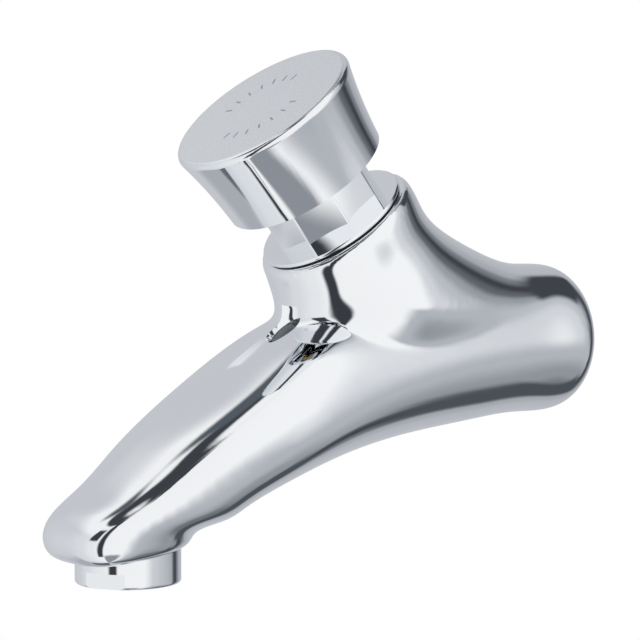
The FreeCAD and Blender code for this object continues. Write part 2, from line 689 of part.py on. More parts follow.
def push_cap():
    """A turned cup, wider at the top, with a boss inside that screws onto the stem."""
    roof = CAP_TOP - CAP_ROOF
    outer = cap_side(CAP_TOP_R, CAP_SKIRT_R, CAP_TOP, CAP_SKIRT, CAP_HOLLOW)
    inner_top_r = CAP_TOP_R - (CAP_TOP_R - CAP_SKIRT_R) * CAP_ROOF / (CAP_TOP - CAP_SKIRT) - CAP_WALL
    inner = cap_side(inner_top_r, CAP_SKIRT_R - CAP_WALL, roof, CAP_SKIRT, CAP_HOLLOW)
    boss_foot = roof - CAP_BOSS_LENGTH
    line = [
        Vector(CAP_TOP_R, 0, CAP_TOP), Vector(0, 0, CAP_TOP), Vector(0, 0, roof),
        Vector(STEM_SPIGOT_R + SEATED / 2, 0, roof), Vector(STEM_SPIGOT_R + SEATED / 2, 0, boss_foot),
        Vector(CAP_BOSS_R, 0, boss_foot), Vector(CAP_BOSS_R, 0, roof), Vector(inner_top_r, 0, roof),
    ]
    skirt = [Vector(CAP_SKIRT_R - CAP_WALL, 0, CAP_SKIRT), Vector(CAP_SKIRT_R, 0, CAP_SKIRT)]
    edges = [outer] + [Part.makeLine(a, b) for a, b in zip(line, line[1:])]
    edges += [inner, Part.makeLine(skirt[0], skirt[1])]
    outline = Part.Wire(Part.__sortEdges__(edges))
    cap = Part.Face(outline).revolve(ORIGIN, UP, 360)
    return round_edges(cap, CAP_EDGE_ROUND, lambda edge: is_ring_at(edge, CAP_TOP, CAP_TOP_R))


# Return spring

def biarc(start, start_way, end, end_way):
    """Two arcs that leave one point and reach another along the given directions."""
    chord = end - start
    ways = start_way + end_way
    spread = 2 * (1 - start_way.dot(end_way))
    reach = (-chord.dot(ways) + math.sqrt(chord.dot(ways) ** 2 + spread * chord.dot(chord))) / spread
    first_corner = start + start_way * reach
    last_corner = end - end_way * reach
    joint = (first_corner + last_corner) * 0.5
    arcs = []
    for a, corner, b in ((start, first_corner, joint), (joint, last_corner, end)):
        half = (b - a).Length / 2
        turn = 2 * math.acos(half / (corner - a).Length)
        foot = (a + b) * 0.5
        sagitta = half * math.tan(turn / 4)
        arcs.append(Part.Arc(a, foot + (corner - foot).normalize() * sagitta, b).toShape())
    return arcs


def least_gap(path):
    """Least clear distance between points of the wire that lie over half a turn apart."""
    points = path.discretize(Distance=1.0)
    spacing = path.Length / (len(points) - 1)
    apart = math.ceil(math.pi * SPRING_R / spacing)
    nearest = min((p - q).Length for k, p in enumerate(points) for q in points[k + apart:])
    return nearest - 2 * SPRING_WIRE_R


def return_spring():
    """Closed end turns and open ones between, one round wire swept along quarter turns."""
    web_top = HOUSING_WEB + HOUSING_WEB_THICKNESS
    low = web_top + SPRING_WIRE_R + SEATED
    high = PISTON_FOOT - SPRING_WIRE_R - SEATED
    quarters = 4 * SPRING_TURNS
    end_rise = 2 * SPRING_WIRE_R + SPRING_END_GAP

    def centre(quarter):
        if quarter <= 4:
            share = quarter / 4 * end_rise
        elif quarter >= quarters - 4:
            share = (high - low) - (quarters - quarter) / 4 * end_rise
        else:
            share = end_rise + (quarter - 4) / (quarters - 8) * (high - low - 2 * end_rise)
        angle = quarter * math.pi / 2
        return Vector(SPRING_R * math.cos(angle), SPRING_R * math.sin(angle), low + share)

    def way(quarter):
        step = 0.05
        return (centre(quarter + step) - centre(quarter - step)).normalize()

    edges = []
    for quarter in range(quarters):
        edges += biarc(centre(quarter), way(quarter), centre(quarter + 1), way(quarter + 1))
    path = Part.Wire(edges)
    section = Part.Wire(Part.makeCircle(SPRING_WIRE_R, centre(0), way(0)))
    print("spring: least gap to itself", round(least_gap(path), 2))
    print("spring: wire length", round(path.Length, 2))
    return path.makePipeShell([section], True, False)


# Inlet

def inlet_washer():
    relief_top = INLET_THREAD_LENGTH + INLET_RELIEF_LENGTH
    washer = tube(INLET_RELIEF_R - SEATED, INLET_WASHER_BORE_R, 0, INLET_WASHER)
    return to_inlet(washer, relief_top)


def to_inlet(shape, reach):
    """Puts a shape made about Z, going up, onto the inlet's axis, going back to the wall."""
    placed = shape.copy()
    placed.rotate(ORIGIN, Vector(1, 0, 0), -90)
    placed.translate(OUT * reach)
    return placed


def inlet_strainer():
    """A thimble of perforated steel whose rim is held by the inlet washer."""
    rim = disc(INLET_WASHER_BORE_R - SEATED, 0, STRAINER_WALL * 2)
    cup = disc(STRAINER_R, -STRAINER_LENGTH, STRAINER_WALL)
    bore = disc(STRAINER_R - STRAINER_WALL, -STRAINER_LENGTH + STRAINER_WALL, STRAINER_WALL * 2 + 1)
    thimble = rim.fuse(cup).cut(bore)
    slot = Part.makeBox(2 * STRAINER_R + 2, STRAINER_SLOT, STRAINER_LENGTH * 0.6)
    slot.translate(Vector(-STRAINER_R - 1, -STRAINER_SLOT / 2, -STRAINER_LENGTH * 0.85))
    for k in range(STRAINER_SLOTS):
        turned = slot.copy()
        turned.rotate(ORIGIN, UP, k * 180 / STRAINER_SLOTS)
        thimble = thimble.cut(turned)
    return to_inlet(thimble, INLET_THREAD_LENGTH + INLET_RELIEF_LENGTH)


# Aerator

def aerator_shell():
    """Threaded inside the mouth, plain collar below it with two flats for a spanner."""
    seat = AERATOR_SEAT_Z - AERATOR_GASKET
    collar_top = AERATOR_COUNTERBORE_Z - SEATED
    lip_top = SHELL_FOOT_Z + SHELL_LIP
    shell = revolved([
        (SHELL_LIP_BORE_R, SHELL_FOOT_Z), (SHELL_R, SHELL_FOOT_Z), (SHELL_R, collar_top),
        (SHELL_THREAD_R, collar_top), (SHELL_THREAD_R, seat), (SHELL_BORE_R, seat),
        (SHELL_BORE_R, lip_top), (SHELL_LIP_BORE_R, lip_top),
    ])
    shell = round_edges(shell, SHELL_EDGE_ROUND, lambda edge: is_ring_at(edge, SHELL_FOOT_Z, SHELL_R))
    for side in (0, 180):
        block = Part.makeBox(2 * SHELL_R, SHELL_R, SHELL_FLAT_HEIGHT + 1)
        block.translate(Vector(-SHELL_R, -SHELL_FLATS / 2 - SHELL_R, SHELL_FOOT_Z - 1))
        block.rotate(ORIGIN, UP, SHELL_FLAT_TURN + side)
        shell = shell.cut(block)
    return shell


def aerator_gasket():
    seat = AERATOR_SEAT_Z - AERATOR_GASKET
    return tube(SHELL_THREAD_R - SEATED, AERATOR_GASKET_BORE_R, seat, AERATOR_SEAT_Z)


def holes_on_circle(count, circle_r, hole_r, low, high):
    holes = []
    for k in range(count):
        angle = 2 * math.pi * k / count
        place = Vector(circle_r * math.cos(angle), circle_r * math.sin(angle), low)
        holes.append(Part.makeCylinder(hole_r, high - low, place))
    return holes


def flow_disc():
    """Perforated plate that splits the water into jets, with a raised centre."""
    top = AERATOR_SEAT_Z - AERATOR_GASKET - SEATED
    foot = top - FLOW_DISC
    plate = disc(SHELL_BORE_R - SEATED, foot, top).fuse(disc(FLOW_HUB_R, foot - FLOW_HUB, top))
    plate = plate.cut(tube(SHELL_BORE_R - FLOW_RIM, FLOW_RECESS_R, top - FLOW_RECESS, top + 1))
    for hole in holes_on_circle(FLOW_HOLES, FLOW_HOLE_CIRCLE_R, FLOW_HOLE_R, foot - 2, top + 1):
        plate = plate.cut(hole)
    return plate


def screen_levels():
    foot = SHELL_FOOT_Z + SHELL_LIP + INSERT_RIB
    return [foot + k * (SCREEN + SCREEN_GAP) for k in range(SCREEN_COUNT)]


def aerator_insert():
    """Plastic sleeve that carries the screens on a cross of ribs."""
    top = AERATOR_SEAT_Z - AERATOR_GASKET - SEATED - FLOW_DISC
    foot = SHELL_FOOT_Z + SHELL_LIP
    outer_r = SHELL_BORE_R - SEATED
    inner_r = outer_r - INSERT_WALL
    sleeve = tube(outer_r, inner_r, foot, top)
    ribs = disc(inner_r + INSERT_WALL / 2, foot, foot + INSERT_RIB - SEATED)
    circle_r = inner_r * INSERT_HOLE_CIRCLE
    hole_r = inner_r * INSERT_HOLE
    for hole in holes_on_circle(INSERT_HOLES, circle_r, hole_r, foot - 1, foot + INSERT_RIB + 1):
        ribs = ribs.cut(hole)
    ribs = ribs.cut(disc(inner_r * INSERT_MIDDLE_HOLE, foot - 1, foot + INSERT_RIB + 1))
    return sleeve.fuse(ribs).removeSplitter()


def aerator_screens():
    """Discs of parallel slots, each turned a quarter against the next, for the wire mesh."""
    inner_r = SHELL_BORE_R - SEATED - INSERT_WALL - SEATED
    screens = []
    for k, low in enumerate(screen_levels()):
        plate = disc(inner_r, low, low + SCREEN)
        pitch = 2 * (inner_r - 1) / SCREEN_SLOTS
        for row in range(SCREEN_SLOTS):
            offset = -inner_r + 1 + (row + 0.5) * pitch
            half = math.sqrt((inner_r - 1) ** 2 - offset ** 2)
            slot = Part.makeBox(2 * half, SCREEN_SLOT, SCREEN + 2)
            slot.translate(Vector(-half, offset - SCREEN_SLOT / 2, low - 1))
            plate = plate.cut(slot)
        plate.rotate(ORIGIN, UP, 90 * k)
        screens.append(plate)
    return Part.makeCompound(screens)


ON_VALVE_AXIS = {
    "bonnet": bonnet,
    "bonnet_gasket": bonnet_gasket,
    "stem_bush": stem_bush,
    "stem_ring": stem_ring,
    "cartridge_housing": cartridge_housing,
    "housing_ring": housing_ring,
    "seat_gasket": seat_gasket,
    "valve_seat": valve_seat,
    "stem": stem,
    "piston": piston,
    "lip_seal": lip_seal,
    "backing_washer": backing_washer,
    "stem_circlip": stem_circlip,
    "valve_washer": valve_washer,
    "washer_holder": washer_holder,
    "tip_nut": tip_nut,
    "lock_nut": lock_nut,
    "push_cap": push_cap,
    "return_spring": return_spring,
}

ON_OUTLET_AXIS = {
    "aerator_shell": aerator_shell,
    "aerator_gasket": aerator_gasket,
    "flow_disc": flow_disc,
    "aerator_insert": aerator_insert,
    "aerator_screens": aerator_screens,
}

IN_PLACE = {
    "tap_body": tap_body,
    "index_plug": index_plug,
    "inlet_washer": inlet_washer,
    "inlet_strainer": inlet_strainer,
}


def write(node, shape):
    assert shape.isValid(), node
    print(node, len(shape.Solids), "solid(s),", round(shape.Volume, 1), "mm3")
    shape.exportStep("parts/" + node + ".step")


os.makedirs("parts", exist_ok=True)
for node, make in ON_VALVE_AXIS.items():
    write(node, on_valve_axis(make()))
for node, make in ON_OUTLET_AXIS.items():
    write(node, on_outlet_axis(make()))
for node, make in IN_PLACE.items():
    write(node, make())
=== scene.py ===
"""Self-closing wall tap in polished chrome, dressed and photographed in a small white studio.

Metres, +Z up. The origin is the centre of the tap's wall face and the tap reaches out along -Y.
"""

import bpy
import math
import numpy as np
from mathutils import Matrix, Vector
from mathutils.bvhtree import BVHTree


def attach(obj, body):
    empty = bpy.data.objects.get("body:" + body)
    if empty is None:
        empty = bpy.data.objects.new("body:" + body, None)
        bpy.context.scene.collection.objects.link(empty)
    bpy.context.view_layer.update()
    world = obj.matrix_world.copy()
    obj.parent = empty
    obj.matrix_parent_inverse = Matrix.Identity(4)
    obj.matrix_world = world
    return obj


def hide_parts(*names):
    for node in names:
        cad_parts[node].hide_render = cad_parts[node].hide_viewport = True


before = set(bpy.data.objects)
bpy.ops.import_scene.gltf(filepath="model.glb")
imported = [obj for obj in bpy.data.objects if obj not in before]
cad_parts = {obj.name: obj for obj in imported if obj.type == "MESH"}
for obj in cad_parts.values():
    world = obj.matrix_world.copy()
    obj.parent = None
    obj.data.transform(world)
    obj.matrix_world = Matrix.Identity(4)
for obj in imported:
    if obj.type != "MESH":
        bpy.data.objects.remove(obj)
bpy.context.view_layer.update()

# The camera
# A long lens a little above the inlet, to the right of the spout, as in a catalogue picture.
LENS = 146.0
LENS_SENSOR = 36.0
CAMERA_DISTANCE = 0.613
CAMERA_AZIMUTH = math.radians(54.0)
CAMERA_ELEVATION = math.radians(3.8)
AIM = Vector((0.0, -0.0747, 0.0068))

toward_camera = Vector((
    math.sin(CAMERA_AZIMUTH) * math.cos(CAMERA_ELEVATION),
    -math.cos(CAMERA_AZIMUTH) * math.cos(CAMERA_ELEVATION),
    math.sin(CAMERA_ELEVATION),
))
bpy.ops.object.select_all(action="DESELECT")
bpy.ops.object.camera_add(location=AIM + toward_camera * CAMERA_DISTANCE)
camera = bpy.context.object
camera.name = "camera"
camera.rotation_euler = toward_camera.to_track_quat("Z", "Y").to_euler()
camera.data.lens = LENS
camera.data.sensor_width = LENS_SENSOR
bpy.context.scene.camera = camera
bpy.context.scene.view_settings.view_transform = "Standard"


def linear(colour):
    """An sRGB hex colour such as "C8CCD2" as linear red, green, blue and alpha."""
    channels = [int(colour[k:k + 2], 16) / 255 for k in (0, 2, 4)]
    straight = [c / 12.92 if c <= 0.04045 else ((c + 0.055) / 1.055) ** 2.4 for c in channels]
    return (*straight, 1.0)


def node(tree, kind, settings=None, **inputs):
    """Adds a node. Settings are its own properties. Inputs are values or other nodes' sockets, each
    under the socket's name or, as i0 or i3, its number."""
    added = tree.nodes.new(kind)
    for key, value in (settings or {}).items():
        setattr(added, key, value)
    for key, value in inputs.items():
        numbered = key[0] == "i" and key[1:].isdigit()
        socket = added.inputs[int(key[1:]) if numbered else key.replace("_", " ")]
        if isinstance(value, bpy.types.NodeSocket):
            tree.links.new(value, socket)
        else:
            socket.default_value = value
    return added


# Chrome plate
# Bright nickel and chrome over buffed brass. It is almost a mirror with a cool cast, and the
# buffing leaves a faint unevenness that softens what it reflects.
CHROME, THIN_CHROME = "F4F6F8", "F1F3F6"
BUFFED = 0.045          # roughness


def chrome_plate(name, roughness):
    made = bpy.data.materials.new(name)
    made.use_nodes = True
    tree = made.node_tree
    skin = tree.nodes["Principled BSDF"]
    skin.inputs["Metallic"].default_value = 1.0
    place = node(tree, "ShaderNodeTexCoord").outputs["Object"]
    bath = node(tree, "ShaderNodeTexNoise", Vector=place, Scale=35.0, Detail=2.0)
    tint = node(tree, "ShaderNodeMix", {"data_type": "RGBA"}, i0=bath.outputs["Fac"],
                i6=linear(THIN_CHROME), i7=linear(CHROME))
    tree.links.new(tint.outputs[2], skin.inputs["Base Color"])
    smears = node(tree, "ShaderNodeTexNoise", Vector=place, Scale=160.0, Detail=3.0)
    spread = node(tree, "ShaderNodeMapRange", i0=smears.outputs["Fac"], i1=0.3, i2=0.7,
                  i3=roughness * 0.7, i4=roughness * 1.3)
    tree.links.new(spread.outputs["Result"], skin.inputs["Roughness"])
    return made


def dress(material, *names):
    """Gives CAD nodes their finish."""
    for name in names:
        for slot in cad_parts[name].material_slots:
            slot.material = material


polished = chrome_plate("polished_chrome_plate", BUFFED)

# The casting
# One brass casting in which wall end, neck and spout flow into each other with no line between.
# It is ground, buffed and chrome plated, and bored and threaded for the pipe, valve and aerator.
WALL_END_R = 0.0184
WALL_END_ROUND = 0.0078
REACH = 0.1282
OUTLET_DROP = 0.045
SPOUT_HALF_WIDTH = 0.023
NOSE_FRONT = 0.1452
NOSE_REAR = 0.1136
NOSE_HALF_WIDTH = 0.0154
NOSE_ROUND = 0.0044
NOSE_REAR_ROUND = 0.0014
MOUTH_RISE = 0.0016
MOUTH_LEAN = math.radians(8.0)
NECK_R = 0.020
NECK_RIM = 0.038
NECK_RIM_ROUND = 0.0015
VALVE_TILT = math.radians(37.5)
ROUND = (2.0, 2.0)             # powers of an outline's back and belly: 2 is round, more is squarer
MOUTH_POWERS = (3.4, 2.0)
RING_POINTS, RUN_RINGS, NECK_RINGS = 129, 170, 90
CAST_GRAIN = 0.0007            # edge of the faces that the smooth casting is made of
SEAM_ANGLE = math.radians(32)  # sharper edges than this stay sharp

UP = Vector((0, 0, 1))
OUT = Vector((0, -1, 0))
valve_axis = Vector((0, -math.sin(VALVE_TILT), math.cos(VALVE_TILT)))
valve_front = Vector((0, -math.cos(VALVE_TILT), -math.sin(VALVE_TILT)))
valve_foot = Vector((0, -0.048, 0))
outlet = OUT * REACH


def select_only(*pieces):
    bpy.ops.object.select_all(action="DESELECT")
    for piece in pieces:
        piece.select_set(True)
    bpy.context.view_layer.objects.active = pieces[-1]


def modify(piece, kind, **settings):
    """Adds a modifier, sets it up and applies it."""
    select_only(piece)
    added = piece.modifiers.new(kind.lower(), kind)
    for key, value in settings.items():
        setattr(added, key, value)
    bpy.ops.object.modifier_apply(modifier=added.name)


def through(stations, count):
    """Rows of numbers on one smooth line through the stations, evenly spaced along it."""
    rows = np.array(stations, float)
    steps = np.linalg.norm(np.diff(rows[:, :-2], axis=0), axis=1)      # the last two are powers
    knots = np.concatenate([[0.0], np.cumsum(steps)])
    n = len(rows)
    gaps = np.diff(knots)
    system = np.eye(n)
    slopes = np.zeros_like(rows)
    for k in range(1, n - 1):
        system[k, k - 1:k + 2] = gaps[k - 1], 2 * (gaps[k - 1] + gaps[k]), gaps[k]
        slopes[k] = 6 * ((rows[k + 1] - rows[k]) / gaps[k] - (rows[k] - rows[k - 1]) / gaps[k - 1])
    bends = np.linalg.solve(system, slopes)
    places = np.linspace(0, knots[-1], count)
    spans = np.clip(np.searchsorted(knots, places, side="right") - 1, 0, n - 2)
    before = ((knots[spans + 1] - places) / gaps[spans])[:, None]
    after = 1 - before
    gap = gaps[spans][:, None]
    bent = (before ** 3 - before) * bends[spans] + (after ** 3 - after) * bends[spans + 1]
    return before * rows[spans] + after * rows[spans + 1] + bent * gap * gap / 6


def tube(name, rings):
    """A closed solid through rings of points. Each ring's last point lies on its first."""
    bpy.ops.object.select_all(action="DESELECT")
    bpy.ops.mesh.primitive_grid_add(x_subdivisions=len(rings[0]) - 1, y_subdivisions=len(rings) - 1)
    made = bpy.context.object
    made.name = name
    made.data.vertices.foreach_set("co", np.concatenate(rings).ravel())
    bpy.ops.object.mode_set(mode="EDIT")
    bpy.ops.mesh.select_all(action="SELECT")
    bpy.ops.mesh.remove_doubles(threshold=1e-6)
    bpy.ops.mesh.select_all(action="DESELECT")
    bpy.ops.mesh.select_non_manifold()
    bpy.ops.mesh.edge_face_add()
    bpy.ops.mesh.select_all(action="SELECT")
    bpy.ops.mesh.normals_make_consistent(inside=False)
    bpy.ops.object.mode_set(mode="OBJECT")
    return made


def skin(name, stations, along):
    """A smooth tube through stations. Each is an outline between a belly and a back point, with its
    half width and the powers of its back and belly."""
    angles = np.linspace(-np.pi / 2, 3 * np.pi / 2, RING_POINTS)
    rings = []
    for row in through(stations, along):
        power = np.where(np.sin(angles) > 0, row[7], row[8])
        reach = (np.abs(np.cos(angles)) ** power + np.abs(np.sin(angles)) ** power) ** (-1 / power)
        ring = (row[0:3] + row[3:6]) / 2 + (reach * np.sin(angles))[:, None] * (row[3:6] - row[0:3]) / 2
        ring[:, 0] += row[6] * reach * np.cos(angles)
        rings.append(ring)
    return tube(name, rings)


def quarter_round(rounding):
    """Steps round a quarter circle from a flat end outwards: how far along, how far in."""
    turns = [math.radians(degrees) for degrees in (0, 25, 50, 70, 90)]
    return [(rounding * (1 - math.cos(turn)), rounding * (1 - math.sin(turn))) for turn in turns]


def rounded_end(radius, rounding, place, way, across):
    """Stations for a round end with a rounded edge, from its flat face inwards."""
    stations = []
    for along, inward in quarter_round(rounding):
        centre = place + way * along
        half = across * (radius - inward)
        stations.append((*(centre - half), *(centre + half), radius - inward, *ROUND))
    return stations


def run_station(belly_reach, belly_fall, back_reach, back_fall, spread, back_power, belly_power):
    """Reaches are shares of REACH, falls of the way down to the mouth, spread of the widening."""
    belly_z = -WALL_END_R - belly_fall * (OUTLET_DROP - WALL_END_R)
    back_z = WALL_END_R - back_fall * (OUTLET_DROP + WALL_END_R)
    width = WALL_END_R + spread * (SPOUT_HALF_WIDTH - WALL_END_R)
    return (0, -belly_reach * REACH, belly_z, 0, -back_reach * REACH, back_z, width, back_power, belly_power)


run_stations = rounded_end(WALL_END_R, WALL_END_ROUND, Vector((0, 0, 0)), OUT, UP) + [
    run_station(0.130, 0.000, 0.130, 0.000, 0.00, 2.0, 2.0),
    run_station(0.250, 0.041, 0.250, 0.000, 0.15, 2.0, 2.0),
    run_station(0.406, 0.120, 0.437, 0.061, 0.45, 2.2, 2.0),
    run_station(0.562, 0.250, 0.624, 0.166, 0.78, 2.8, 2.1),
    run_station(0.718, 0.459, 0.796, 0.383, 1.00, 3.6, 2.2),
    run_station(0.805, 0.640, 0.971, 0.628, 0.45, 3.4, 2.2),
    run_station(0.838, 0.715, 1.054, 0.760, 0.00, 3.4, 2.2),
]
mouth_out = Vector((0, -math.cos(MOUTH_LEAN), -math.sin(MOUTH_LEAN)))
mouth_up = Vector((0, -math.sin(MOUTH_LEAN), math.cos(MOUTH_LEAN)))
mouth = outlet - UP * (OUTLET_DROP - MOUTH_RISE)
mouth_roundings = list(zip(quarter_round(NOSE_ROUND), quarter_round(NOSE_REAR_ROUND)))
for (front_up, front_in), (rear_up, rear_in) in reversed(mouth_roundings):
    front = mouth + mouth_out * (NOSE_FRONT - REACH - front_in) + mouth_up * front_up
    rear = mouth + mouth_out * (NOSE_REAR - REACH + rear_in) + mouth_up * rear_up
    run_stations.append((*rear, *front, NOSE_HALF_WIDTH - front_in, *MOUTH_POWERS))
run = skin("run", run_stations, RUN_RINGS)

rim = valve_foot + valve_axis * NECK_RIM
neck_stations = rounded_end(NECK_R, NECK_RIM_ROUND, rim, -valve_axis, -valve_front)
# Heights are shares of the rim's, and reaches to the front, rear and side are shares of NECK_R.
for share, front, rear, side in (
    (0.74, 1.12, 0.98, 1.00),
    (0.47, 1.22, 1.00, 0.96),
    (0.21, 1.24, 1.04, 0.86),
    (0.00, 1.10, 1.00, 0.66),
):
    middle = valve_foot + valve_axis * NECK_RIM * share
    front_end = middle + valve_front * front * NECK_R
    rear_end = middle - valve_front * rear * NECK_R
    neck_stations.append((*front_end, *rear_end, side * NECK_R, *ROUND))
neck = skin("neck", neck_stations, NECK_RINGS)

run_skin = BVHTree.FromObject(run, bpy.context.evaluated_depsgraph_get())
neck_skin = BVHTree.FromObject(neck, bpy.context.evaluated_depsgraph_get())
select_only(neck, run)
bpy.ops.object.join()
casting = run
casting.name = "casting"
casting.data.remesh_voxel_size = CAST_GRAIN
bpy.ops.object.voxel_remesh()

# Neck and run flow into each other: the skin moves out to where their distances, softly joined,
# come to nothing. The blend reaches further on the wall's side and along the flanks.
BLEND_FRONT, BLEND_BACK = 0.005, 0.022
BLEND_FROM_Y, BLEND_LENGTH = -0.079, 0.035    # where the reach starts to grow, and over what way
FLANK_HALF_WIDTH, FLANK_SHARE = 0.019, 0.6
BLEND_FOOT_Z, BLEND_RISE = -0.004, 0.016      # below this the blend fades out
LEAST_BLEND = 0.02
LEAST_SLOPE = 0.2
SETTLING_TURNS = 4
TOUCHING = 2e-5


def apart(tree, point):
    """How far a point lies outside a skin, and the way out."""
    near, way, _, gap = tree.find_nearest(point)
    if gap < TOUCHING:
        return 0.0, way
    out = point - near
    return (gap, out / gap) if out.dot(way) > 0 else (-gap, out / -gap)


def ease(share):
    """A soft step from 0 to 1."""
    return share * share * (3 - 2 * share)


for point in casting.data.vertices:
    place = point.co.copy()
    for turn in range(SETTLING_TURNS):
        from_run, run_way = apart(run_skin, place)
        from_neck, neck_way = apart(neck_skin, place)
        flank = abs(place.x) / FLANK_HALF_WIDTH
        back = (place.y - BLEND_FROM_Y) / BLEND_LENGTH + FLANK_SHARE * (flank - 0.5)
        back = ease(min(max(back, 0.0), 1.0))
        blend = BLEND_FRONT + back * (BLEND_BACK - BLEND_FRONT)
        above = min(max((place.z - BLEND_FOOT_Z) / BLEND_RISE, LEAST_BLEND), 1.0)
        blend *= ease(above)
        share = max(1 - abs(from_run - from_neck) / blend, 0.0)
        if share == 0.0:
            break
        nearer, other = (run_way, neck_way) if from_run < from_neck else (neck_way, run_way)
        slope = nearer * (1 - share / 2) + other * (share / 2)
        level = min(from_run, from_neck) - share * share * blend / 4
        place -= slope * (level / max(slope.length_squared, LEAST_SLOPE))
    point.co = place
modify(casting, "SMOOTH", factor=0.5, iterations=30)

# The index plug sits square on the spout's back, just below the neck. Its place is found on the
# skin, and a shallow thumb furrow runs down the spout from it.
INDEX_SLOPE = math.radians(34.0)
ABOUT_INDEX = Vector((0, -0.0805, 0.0042))
INDEX_FORWARD, CLEAR_OF_SKIN = 0.003, 0.02
FURROW_HALF_WIDTH, FURROW_LENGTH, FURROW_DEPTH = 0.0043, 0.0205, 0.0005
FURROW_SIDE_POWER, FURROW_RUN_OUT, FURROW_REACH = 1.5, 0.006, 0.006

sloped = Matrix.Translation(ABOUT_INDEX) @ Matrix.Rotation(INDEX_SLOPE, 4, "X")
surface = BVHTree.FromObject(casting, bpy.context.evaluated_depsgraph_get())
above_plug = sloped @ Vector((0, -INDEX_FORWARD, CLEAR_OF_SKIN))
landing, facing = surface.ray_cast(above_plug, -(sloped.to_3x3() @ UP))[:2]
index_place = Vector((0, landing.y, landing.z))
index_frame = Matrix.Translation(index_place) @ Matrix.Rotation(math.atan2(-facing.y, facing.z), 4, "X")
plug_normal = index_frame.to_3x3() @ UP
to_plug = index_frame.inverted()
for point in casting.data.vertices:
    spot = to_plug @ point.co
    beside = abs(spot.x) < FURROW_HALF_WIDTH and -FURROW_LENGTH < spot.y < 0
    if beside and abs(spot.z) < FURROW_REACH:
        side = 1 - (spot.x / FURROW_HALF_WIDTH) ** 2
        run_out = ease(min((FURROW_LENGTH + spot.y) / FURROW_RUN_OUT, 1.0))
        point.co -= plug_normal * (FURROW_DEPTH * side ** FURROW_SIDE_POWER * run_out)


def lathe(name, outline, place, way, sides=96, turned_by=0.0):
    """A solid turned about an axis. Each point of the outline is a radius, a height and, if it is
    oval, its other radius."""
    turn = way.to_track_quat("Z", "Y").to_matrix()
    rings = []
    for step in outline:
        long_r = step[2] if len(step) > 2 else step[0]
        angles = np.linspace(0, 2 * np.pi, sides + 1) + turned_by
        height = np.full(sides + 1, step[1])
        flat = np.stack([step[0] * np.cos(angles), long_r * np.sin(angles), height], axis=1)
        rings.append(flat @ np.array(turn).T + np.array(place))
    return tube(name, rings)


def cut(piece, cutter):
    modify(piece, "BOOLEAN", operation="DIFFERENCE", solver="EXACT", object=cutter)
    bpy.data.objects.remove(cutter)


VALVE_BORE = [
    (0.010, -0.0155), (0.010, 0.0),         # under the seat
    (0.0142, 0.0), (0.0142, 0.021),         # round the cartridge's housing
    (0.0155, 0.021), (0.0155, 0.041),       # round the bonnet's skirt
]
INLET_BORE = [
    (0.009315, -0.001), (0.009315, 0.013),  # the thread
    (0.0099, 0.013), (0.0099, 0.0152),      # its relief, where the washer sits
    (0.0063, 0.0152), (0.0063, 0.043),
]
OUTLET_BORE = [
    (0.0121, -0.0503), (0.0121, -0.041),    # round the aerator's shell
    (0.0115, -0.041), (0.0115, -0.035),     # its thread
    (0.0076, -0.035), (0.0076, -0.031),
]
WATERWAY_R = 0.0055
WATERWAY_FORWARD, WATERWAY_UP, WATERWAY_DROP = 0.0101, 0.0057, 0.033
INDEX_RECESS = [
    (0.00305, -0.003, 0.00485), (0.00305, -0.0010, 0.00485), (0.0035, -0.0004, 0.0053),
    (0.0041, 0.0003, 0.0059), (0.0045, 0.0013, 0.0063), (0.0047, 0.0032, 0.0065),
]
cut(casting, lathe("valve_bore", VALVE_BORE, valve_foot, valve_axis))
cut(casting, lathe("inlet_bore", INLET_BORE, Vector((0, 0, 0)), OUT))
cut(casting, lathe("outlet_bore", OUTLET_BORE, outlet, UP))
waterway_start = valve_foot + valve_front * WATERWAY_FORWARD + valve_axis * WATERWAY_UP
waterway = outlet - UP * WATERWAY_DROP - waterway_start
waterway_outline = [(WATERWAY_R, 0.0), (WATERWAY_R, waterway.length)]
cut(casting, lathe("waterway", waterway_outline, waterway_start, waterway.normalized()))
cut(casting, lathe("index_recess", INDEX_RECESS, index_place, plug_normal))
select_only(casting)
bpy.ops.object.shade_smooth_by_angle(angle=SEAM_ANGLE)
casting.data.materials.clear()
casting.data.materials.append(polished)
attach(casting, "tap")
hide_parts("tap_body")

# Index plug
# A moulded oval button of dark slate plastic, pressed into its socket. Its crown is slightly domed
# and glossy, and a thin black seam of shadow is left round it.
PLUG_HALF_WIDTH, PLUG_HALF_LENGTH = 0.0029, 0.0047
PLUG_FOOT, PLUG_CROWN, PLUG_DOME = -0.0029, -0.0003, 0.0006
PLUG_SHOULDER = PLUG_CROWN - 0.0008

slate = bpy.data.materials.new("moulded_slate_plastic")
slate.use_nodes = True
tree = slate.node_tree
face = tree.nodes["Principled BSDF"]
place = node(tree, "ShaderNodeTexCoord").outputs["Object"]
flow = node(tree, "ShaderNodeTexNoise", Vector=place, Scale=420.0, Detail=4.0)
tone = node(tree, "ShaderNodeMix", {"data_type": "RGBA"}, i0=flow.outputs["Fac"],
            i6=linear("4A545C"), i7=linear("5C676F"))
tree.links.new(tone.outputs[2], face.inputs["Base Color"])
sheen = node(tree, "ShaderNodeMapRange", i0=flow.outputs["Fac"], i1=0.3, i2=0.7, i3=0.2, i4=0.32)
tree.links.new(sheen.outputs["Result"], face.inputs["Roughness"])

